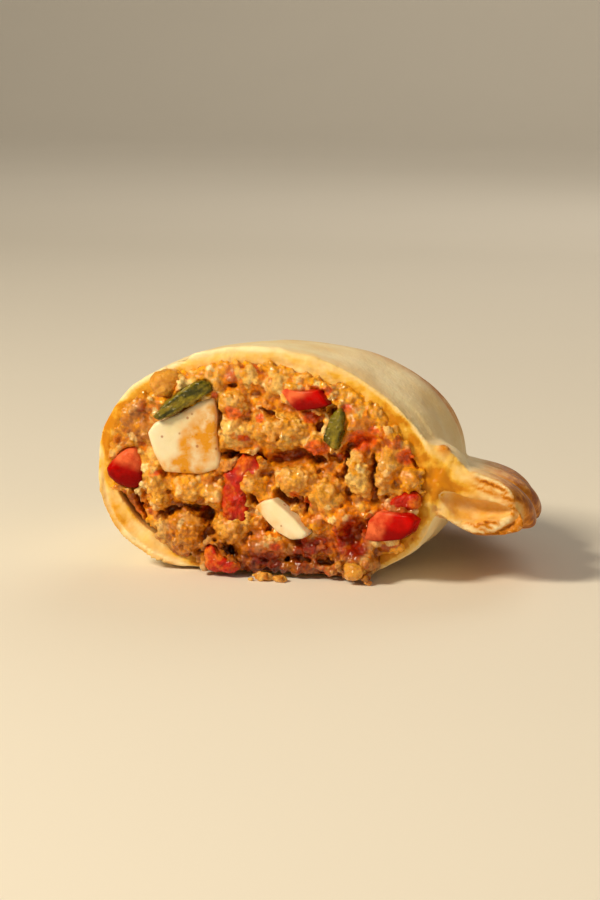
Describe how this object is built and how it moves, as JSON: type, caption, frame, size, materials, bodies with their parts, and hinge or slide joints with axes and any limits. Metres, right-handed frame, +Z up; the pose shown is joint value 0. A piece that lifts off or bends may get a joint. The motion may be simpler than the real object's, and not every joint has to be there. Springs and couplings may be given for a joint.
{
  "type": "beef empanada half",
  "caption": "Half of a baked turnover, cut across: a thin folded crust with a rope crimp round a chunky minced beef filling with egg, pepper, tomato and onion.",
  "frame": {"origin": "on the flat underside, below the crown of the crust, 20 mm behind the cut face", "axes": "+X from the folded edge to the crimped edge, +Y from the cut face to the closed tip, +Z up"},
  "size_m": [0.0671, 0.0618, 0.0351],
  "materials": {
    "pastry": "satin baked dough, cream to pale gold, browned along the crimp",
    "beef_filling": "moist minced beef in tan and orange, glistening with fat",
    "egg_white": "smooth boiled egg white, faintly stained yellow",
    "red_pepper": "glossy cooked red pepper",
    "tomato": "wet soft tomato pulp",
    "spring_onion": "cooked dark green, slightly wrinkled",
    "onion": "translucent amber cooked onion"
  },
  "bodies": {
    "root": {"pastry": "pastry", "filling": "beef_filling", "egg_white_chunk": "egg_white", "egg_white_sliver": "egg_white", "red_pepper_left": "red_pepper", "red_pepper_top": "red_pepper", "red_pepper_right": "red_pepper", "tomato_middle": "tomato", "tomato_lower": "tomato", "tomato_right": "tomato", "spring_onion_left": "spring_onion", "spring_onion_right": "spring_onion", "onion_upper": "onion", "onion_lower": "onion"}
  },
  "joints": []
}
